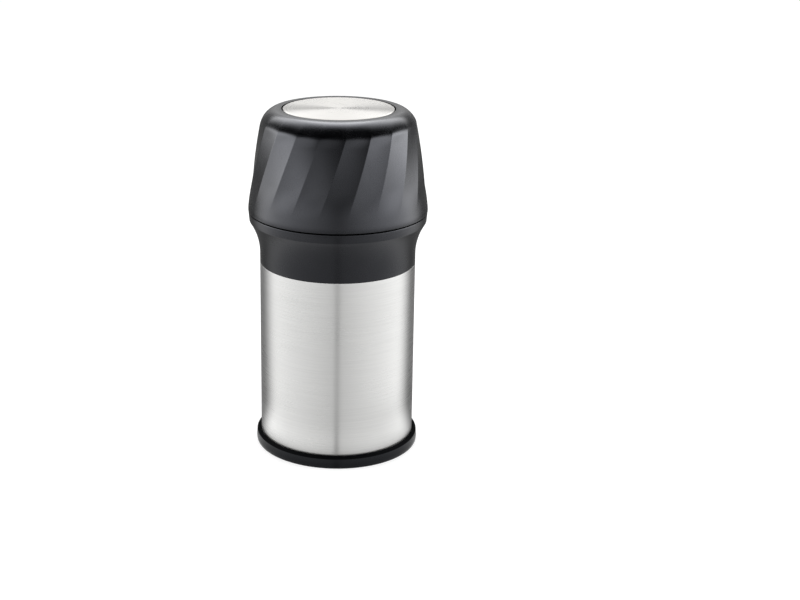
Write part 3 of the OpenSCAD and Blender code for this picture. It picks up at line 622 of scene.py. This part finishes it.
# %% [markdown]
# ## Broken edges inside
# The plastic pieces inside stay as the CAD made them, with razor sharp edges that no mould could make and
# that catch no light. A Weld modifier first joins the faces, which come apart along sharp edges, and a Bevel
# modifier then breaks each edge by a fifth of a millimetre. A Weighted Normal modifier last lets the large
# faces say how the small ones are shaded. Modifiers leave the CAD meshes themselves alone.

# %% Broken edges
BROKEN, JOINED, CORNER = 0.2, 0.002, 40
moulded_inside = [name for name, slot in SLOT_OF.items() if slot == "grey_plastic"]
for name in moulded_inside:
    weld = nodes[name].modifiers.new("joined_faces", "WELD")
    weld.merge_threshold = JOINED * MM
    bevel = nodes[name].modifiers.new("broken_edges", "BEVEL")
    bevel.width, bevel.segments = BROKEN * MM, 2
    bevel.limit_method, bevel.angle_limit = "ANGLE", math.radians(CORNER)
    even = nodes[name].modifiers.new("even_shading", "WEIGHTED_NORMAL")
    even.keep_sharp = False
print("edges broken on:", ", ".join(moulded_inside))

# %% [markdown]
# ## Turned pieces
# Most of the mill is turned, so its pieces come off the same lathe as the tent. Real edges are never sharp:
# the outline's corners each carry a rounding, and the small arcs they become catch the light as moulded
# edges do. Each finished mesh then takes the finish and the body of the CAD node that it stands for.

# %% Outline and piece helpers
STRAIGHT, MOST_OF = 1.55, 0.48
SAME_PLACE, SHARP = 1e-7, 35


def eased(corners, steps=4):
    """Outline of (radius, height, rounding) corners, in millimetres, with the roundings drawn as arcs."""
    line = []
    for i, (r, z, rounding) in enumerate(corners):
        here = Vector((r, z))
        back = Vector(corners[i - 1][:2]) - here
        ahead = Vector(corners[(i + 1) % len(corners)][:2]) - here
        half = back.angle(ahead) / 2
        if rounding <= 0 or half > STRAIGHT:
            line.append(here)
            continue
        reach = min(rounding / math.tan(half), MOST_OF * min(back.length, ahead.length))
        back, ahead = back.normalized(), ahead.normalized()
        centre = here + (back + ahead).normalized() * (reach / math.cos(half))
        start, end = here + back * reach - centre, here + ahead * reach - centre
        sweep = math.pi - 2 * half
        for k in range(steps + 1):
            a, b = math.sin(sweep * (1 - k / steps)), math.sin(sweep * k / steps)
            line.append(centre + (start * a + end * b) / math.sin(sweep))
    return [tuple(p) for p in line]


def mesh_from(name, *shapes):
    """One mesh from closed shapes, each given as points in millimetres and faces."""
    mesh = bpy.data.meshes.new(name)
    built = bmesh.new()
    for points, faces in shapes:
        dots = [built.verts.new(Vector(p) * MM) for p in points]
        for face in faces:
            built.faces.new([dots[i] for i in face])
    bmesh.ops.remove_doubles(built, verts=built.verts, dist=SAME_PLACE)
    bmesh.ops.recalc_face_normals(built, faces=built.faces)
    built.to_mesh(mesh)
    built.free()
    return mesh


def smooth_with_edges(mesh, sharp=SHARP):
    """Shades a mesh smooth and keeps edges that turn by more than so many degrees crisp."""
    mesh.shade_smooth()
    mesh.set_sharp_from_angle(angle=math.radians(sharp))


def as_piece(name, points, faces, node, sharp=SHARP):
    """A piece from points in millimetres that stands for a CAD node, with its finish and its body."""
    mesh = mesh_from(name, (points, faces))
    smooth_with_edges(mesh, sharp)
    mesh.materials.append(FINISHES[SLOT_OF[node]])
    made = bpy.data.objects.new(name, mesh)
    bpy.context.scene.collection.objects.link(made)
    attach(made, BODY_OF[node])
    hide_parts(node)
    print(name, "faces:", len(mesh.polygons))
    return made


def extent(node):
    """Outer radius, lowest level and highest level of a CAD node, in millimetres."""
    low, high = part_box(node)
    return high.x / MM, low.z / MM, high.z / MM

# %% [markdown]
# ## Sleeve, top plate and foot
# The sleeve is rolled from 0.6 mm sheet and polished, with its two rims broken. The top plate is a thick
# turned disc with a bright, slightly rounded edge, let into the head with a shadow gap. The foot is a shallow
# moulded lid: a nearly upright side with a bevel along its top, and inside it a ring with a groove for the
# sealing ring. Its plastic is a softer grade that mirrors less. The bevel gets a dull black that mirrors still
# less: painted shade, a dark reflection put into its finish, which draws a black line round the sleeve. Outer
# sizes come from the frame, so the pieces follow the CAD model.

# %% Turned outer pieces
SHEET, PLATE_T, ROUND_STEPS = 0.6, 1.6, 240


def paint_shade(piece, chosen):
    """Painted shade: a dull black that mirrors little, on the faces that chosen picks by radius and height, in
    mm.
    """
    piece.data.materials.append(dull_shade_plastic)
    for face in piece.data.polygons:
        out, high = math.hypot(*face.center[:2]) / MM, face.center.z / MM
        face.material_index = int(chosen(out, high))
    print(piece.name, "shade_painted faces:", sum(face.material_index for face in piece.data.polygons))


sleeve_r, sleeve_low, sleeve_top = extent("sleeve")
sleeve_outline = [
    (sleeve_r - SHEET, sleeve_low, 0.1), (sleeve_r, sleeve_low, 0.2),
    (sleeve_r, sleeve_top, 0.2), (sleeve_r - SHEET, sleeve_top, 0.1),
]
as_piece("steel_sleeve", *swept(eased(sleeve_outline), ROUND_STEPS), "sleeve")

plate_r, boss_low, plate_top = extent("top_disc")
plate_low, boss_r, plate_edge = plate_top - PLATE_T, 8, 0.6
plate_outline = [
    (0, boss_low, 0), (boss_r, boss_low, 0.2), (boss_r, plate_low, 0.1), (plate_r, plate_low, 0.2),
    (plate_r, plate_top, plate_edge), (0, plate_top, 0),
]
as_piece("top_plate", *swept(eased(plate_outline), ROUND_STEPS), "top_disc")

foot_r, foot_low, ring_top = extent("foot_lid")
rim_top, bevel_h, rim_in, floor_top = 5.8, 1.2, sleeve_r + 0.4, 2.0
ring_r, groove_r, ring_in, groove_low, groove_high = 29.02, 27.99, 26.79, 3.3, 4.9
foot_outline = [
    (0, foot_low, 0), (foot_r - 0.1, foot_low, 0.35), (foot_r, 1.5, 0.5),
    (foot_r - 0.2, rim_top - bevel_h, 0.2),
    (rim_in + 0.3, rim_top, 0.12), (rim_in, rim_top, 0.1), (rim_in, floor_top, 0.3),
    (ring_r, floor_top, 0.3), (ring_r, groove_low, 0.1), (groove_r, groove_low, 0.1),
    (groove_r, groove_high, 0.1), (ring_r, groove_high, 0.1), (ring_r, ring_top, 0.25),
    (ring_in, ring_top, 0.25), (ring_in, floor_top, 0.6), (0, floor_top, 0),
]
foot = as_piece("foot", *swept(eased(foot_outline), ROUND_STEPS), "foot_lid")
foot.data.materials[0] = foot_plastic
# Painted shade: the bevel's dull black stands in for a dark reflection round the foot of the sleeve.
paint_shade(foot, lambda out, high: out > rim_in and high > rim_top - bevel_h)

# %% [markdown]
# ## The flared collar
# The collar's outside runs up straight from the sleeve, flares in a hollow curve and ends in a narrow upright
# band under the seam. Inside it holds the lock ring: a plug bore, a step for the flange, and three L-shaped
# slots for the lugs. The turned shape comes from the lathe, and the slots are cut with Boolean modifiers,
# which is how a maker would mill them.

# %% Collar
COVE_STEPS = 28
SLOTS, WAY_IN, LUG_RUN = 3, 20, 45


def sector(inner, outer, low, high, start, sweep, steps=12):
    """Points and faces of a ring's sector, in millimetres and degrees."""
    points, faces = [], []
    for k in range(steps + 1):
        a = math.radians(start + sweep * k / steps)
        for r, z in ((inner, low), (outer, low), (outer, high), (inner, high)):
            points.append((r * math.cos(a), r * math.sin(a), z))
    for k in range(steps):
        for i in range(4):
            j = (i + 1) % 4
            faces.append((4 * k + i, 4 * k + j, 4 * k + 4 + j, 4 * k + 4 + i))
    return points, faces + [(0, 1, 2, 3), tuple(4 * steps + i for i in (3, 2, 1, 0))]


def cut_out(target, cutters):
    """Cuts closed shapes, given as points and faces in millimetres, out of a piece."""
    cutter = bpy.data.objects.new("cutter", mesh_from("cutter", *cutters))
    bpy.context.scene.collection.objects.link(cutter)
    boolean = target.modifiers.new("cut", "BOOLEAN")
    boolean.object, boolean.operation, boolean.solver = cutter, "DIFFERENCE", "EXACT"
    bpy.context.view_layer.update()
    cut = bpy.data.meshes.new_from_object(target.evaluated_get(bpy.context.evaluated_depsgraph_get()))
    target.modifiers.clear()
    target.data = cut
    bpy.data.objects.remove(cutter)
    smooth_with_edges(cut)


collar_r, collar_low, collar_top = extent("collar")
plug_r, bore_r = sleeve_r - SHEET - 0.1, sleeve_r - 3.1
cove_z, band_z = sleeve_top + 4, collar_top - 4
flare, cove_h = collar_r - 0.4 - sleeve_r, band_z - cove_z
cove_r = (flare**2 + cove_h**2) / (2 * flare)
flange_z, flange_r = collar_top - 3, collar_r - 3.6
lock_z, lock_r = flange_z - 10, bore_r + 1.0
snap_z, snap_r = lock_z - 1.5, bore_r + 0.5
slot_low, slot_r, lug_high = lock_z + 0.8, lock_r + 1.3, lock_z + 4.4
cove = [
    (sleeve_r + cove_r - math.sqrt(cove_r**2 - h**2), cove_z + h, 0)
    for h in (cove_h * k / COVE_STEPS for k in range(COVE_STEPS))
]
collar_outline = [
    (bore_r, collar_low, 0.3), (plug_r, collar_low, 0.4), (plug_r, sleeve_top, 0),
    (sleeve_r, sleeve_top, 0.12), *cove, (sleeve_r + flare, band_z, 0.9),
    (collar_r, collar_top, 0.35), (flange_r, collar_top, 0.25),
    (flange_r, flange_z, 0.1), (lock_r, flange_z, 0.3), (lock_r, lock_z, 0.1), (bore_r, lock_z, 0.1),
    (bore_r, snap_z + 1, 0), (snap_r, snap_z + 0.25, 0), (snap_r, snap_z - 0.25, 0), (bore_r, snap_z - 1, 0),
]
collar = as_piece("flared_collar", *swept(eased(collar_outline), ROUND_STEPS), "collar")
starts = [360 / SLOTS * k for k in range(SLOTS)]
ways_in = [sector(snap_r, slot_r, slot_low, flange_z + 0.5, start, WAY_IN) for start in starts]
lug_runs = [sector(snap_r, slot_r, slot_low, lug_high, start, LUG_RUN) for start in starts]
cut_out(collar, ways_in)
cut_out(collar, lug_runs)
print("collar with slots, faces:", len(collar.data.polygons))

# %% [markdown]
# ## The faceted head
# The head is a cone with twenty slanted flats, a rounded shoulder and a shallow seat for the top plate. The
# flats fade in above a plain round foot, run over the shoulder and fade out again before the plate. No
# modifier fades like that, so the skin is written as one function: how far it lies from the axis at a height
# and at a place across a flat. Soft minimums join flat to flat and cone to shoulder, which rounds each ridge
# as a mould would. The columns of points follow the slant of the ridges and crowd together near them.

# %% Skin of the head
FACETS = 20
TWIST, UNTURNED_Z = math.radians(0.5), 144.0
head_r, seam_z, head_top = extent("head_shell")
cone_low, cone_high = seam_z + 2.55, seam_z + 36.55
CONE_IN, SWELL = 4.92, 0.8
dome_low, DOME_IN, rim_r = cone_high - 1.2, 8.95, 28.0
flats_low, FADE_H = seam_z + 5, 13.0
ROUNDING, SEAM_SOFT, SHOULDER_SOFT = 0.0018, 0.12, 0.3
SEAM_IN, DOME_POWER = 0.08, 0.55


def soft_min(a, b, width):
    """The smaller of two values, with a rounded change from one to the other."""
    h = np.clip(0.5 + 0.5 * (b - a) / width, 0, 1)
    return b + (a - b) * h - width * h * (1 - h)


def ease(t):
    """A smooth step from 0 to 1."""
    c = np.clip(t, 0, 1)
    return c * c * (3 - 2 * c)


def ridge_radius(z):
    """Radius along a ridge: upright at the seam, then a faintly swelling cone and a rounded shoulder."""
    t = (z - cone_low) / (cone_high - cone_low)
    side = head_r - SEAM_IN - CONE_IN * t + SWELL * t * (1 - t)
    cone = soft_min(side, np.full_like(z, head_r), SEAM_SOFT)
    up = np.clip((z - dome_low) / (head_top - dome_low), 0, 1)
    dome = np.where(z < dome_low, 2 * head_r, rim_r + DOME_IN * (1 - up**2) ** DOME_POWER)
    return soft_min(cone, dome, SHOULDER_SOFT)


def skin_radius(z, share):
    """Distance of the skin from the axis, at heights z and at shares of the way across a flat."""
    half = math.pi / FACETS
    u = (share - 0.5) * 2 * half
    lines = [np.cos(half) / np.cos(u + s * 2 * half) for s in (-1, 0, 1)]
    flat = soft_min(soft_min(lines[1], lines[0], ROUNDING), lines[2], ROUNDING)
    fade = ease((z - flats_low) / FADE_H) * (1 - ease((z - cone_high) / (head_top - cone_high)))
    return ridge_radius(z) * (1 + (flat - 1) * fade)


ridge_top = float(ridge_radius(np.array([cone_high]))[0])
print("ridge radius at the seam and at the shoulder:", round(head_r, 2), round(ridge_top, 2))

# %% Twist head
FIRST_LEVEL, LEVEL_STEP, DOME_LEAD, DOME_LEVELS = 0.75, 0.6, 0.5, 44
near_ridge = [0.0, 0.008, 0.016, 0.026, 0.04, 0.065, 0.11, 0.18, 0.27, 0.38]
shares = np.array(near_ridge + [0.5] + [1 - s for s in near_ridge[:0:-1]])
inset = [0.32, 0.2, 0.1, 0.03, 0.0]
lower = [seam_z + h for h in inset[::-1]]
middle = list(np.arange(seam_z + FIRST_LEVEL, dome_low - DOME_LEAD, LEVEL_STEP))
climb = np.sin(np.linspace(0, math.pi / 2, DOME_LEVELS))
rounded = list(dome_low - DOME_LEAD + (head_top - dome_low + DOME_LEAD) * climb)[:-1]
levels = np.array(lower + middle + rounded)
recess_r, seat_z = plate_r + 0.45, plate_low
rim = [
    (rim_r - 0.6, head_top), (recess_r + 0.35, head_top), (recess_r + 0.13, head_top - 0.05),
    (recess_r + 0.02, head_top - 0.15), (recess_r, head_top - 0.3), (recess_r, seat_z + 0.1),
    (recess_r - 0.1, seat_z),
]
roof_z, wall_r, hole_r = seat_z - 2.4, head_r - 2.6, boss_r + 0.1
inside = [
    (hole_r, seat_z), (hole_r, roof_z), (recess_r, roof_z), (rim_r + 1.5, roof_z - 1.2),
    (rim_r + 6, cone_high + 1), (wall_r, cone_low), (wall_r, seam_z + 0.15), (wall_r + 0.15, seam_z),
]
columns = np.arange(FACETS * len(shares))
flat_share = np.tile(shares, FACETS)
start_angle = 2 * math.pi * (columns // len(shares) + flat_share) / FACETS - math.pi / 2
rings = []
for k, z in enumerate(levels):
    r = skin_radius(np.full(len(columns), z), flat_share)
    rings.append((r - inset[k] if k < len(inset) else r, z))
rings += [(np.full(len(columns), r), z) for r, z in rim + inside]
points, faces = [], []
for r, z in rings:
    a = start_angle + TWIST * (z - UNTURNED_Z)
    points += list(zip(r * np.cos(a), r * np.sin(a), np.full(len(columns), z)))
wide = len(columns)
for k in range(len(rings)):
    below, above = k * wide, ((k + 1) % len(rings)) * wide
    faces += [(below + i, below + (i + 1) % wide, above + (i + 1) % wide, above + i) for i in range(wide)]
head = as_piece("twist_head", points, faces, "head_shell", sharp=40)
# Painted shade: the wall and seat of the plate's recess get the dull black, which darkens the gap round it.
paint_shade(head, lambda out, high: boss_r < out < recess_r + 0.1 and high > seat_z - 0.1)

# %% [markdown]
# ## The press spring
# A long soft spring sits round the guide tube and presses the plunger down. Its end turns are closed, so it
# stands square on its seats. A curve with a round bevel would do, but the wire is swept directly as a mesh: a
# ring of points carried along the helix. As the plunger goes up the spring shortens towards its upper seat;
# the piece gets a mesh of its own, but nothing here squeezes it.

# %% Spring
WIRE_R, TURNS, STEPS, SIDES = 0.75, 14, 40, 12
coil_out, spring_low, spring_high = extent("main_spring")
coil_r, low, high = coil_out - WIRE_R, spring_low + WIRE_R, spring_high - WIRE_R
END_RISE = 1.55
pitch = (high - low - 2 * END_RISE) / (TURNS - 2)


def coil_height(turn):
    """Height of the wire's middle after a number of turns, with one closed turn at each end."""
    if turn < 1:
        return low + END_RISE * turn
    if turn > TURNS - 1:
        return high - END_RISE * (TURNS - turn)
    return low + END_RISE + pitch * (turn - 1)


points, faces = [], []
for k in range(TURNS * STEPS + 1):
    turn = k / STEPS
    a = 2 * math.pi * turn
    for s in range(SIDES):
        b = 2 * math.pi * s / SIDES
        r = coil_r + WIRE_R * math.cos(b)
        points.append((r * math.cos(a), r * math.sin(a), coil_height(turn) + WIRE_R * math.sin(b)))
for k in range(TURNS * STEPS):
    for s in range(SIDES):
        n = (s + 1) % SIDES
        faces.append((k * SIDES + s, k * SIDES + n, (k + 1) * SIDES + n, (k + 1) * SIDES + s))
faces += [tuple(range(SIDES)), tuple(TURNS * STEPS * SIDES + s for s in range(SIDES))]
spring = as_piece("press_spring", points, faces, "main_spring", sharp=50)
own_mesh(spring)

# %% [markdown]
# ## Which light for which piece
# Now that the pieces are there, light linking shares out the tent: the bright vault is for the three black
# pieces, and the quiet sky for all the others. A photographer does the same with flags, small black cards
# that keep a lamp off one thing and not off the next.

# %% Light linking
def lights(sheet, pieces, state):
    """Lets a sheet light only these pieces (INCLUDE), or all but these (EXCLUDE)."""
    chosen = bpy.data.collections.new(sheet.name + "_pieces")
    for piece in pieces:
        chosen.objects.link(piece)
    for entry in chosen.collection_objects:
        entry.light_linking.link_state = state
    sheet.light_linking.receiver_collection = chosen


black_pieces = [head, collar, foot]
lights(vault, black_pieces, "INCLUDE")
lights(sky, black_pieces, "EXCLUDE")
print("under the vault:", ", ".join(piece.name for piece in black_pieces))
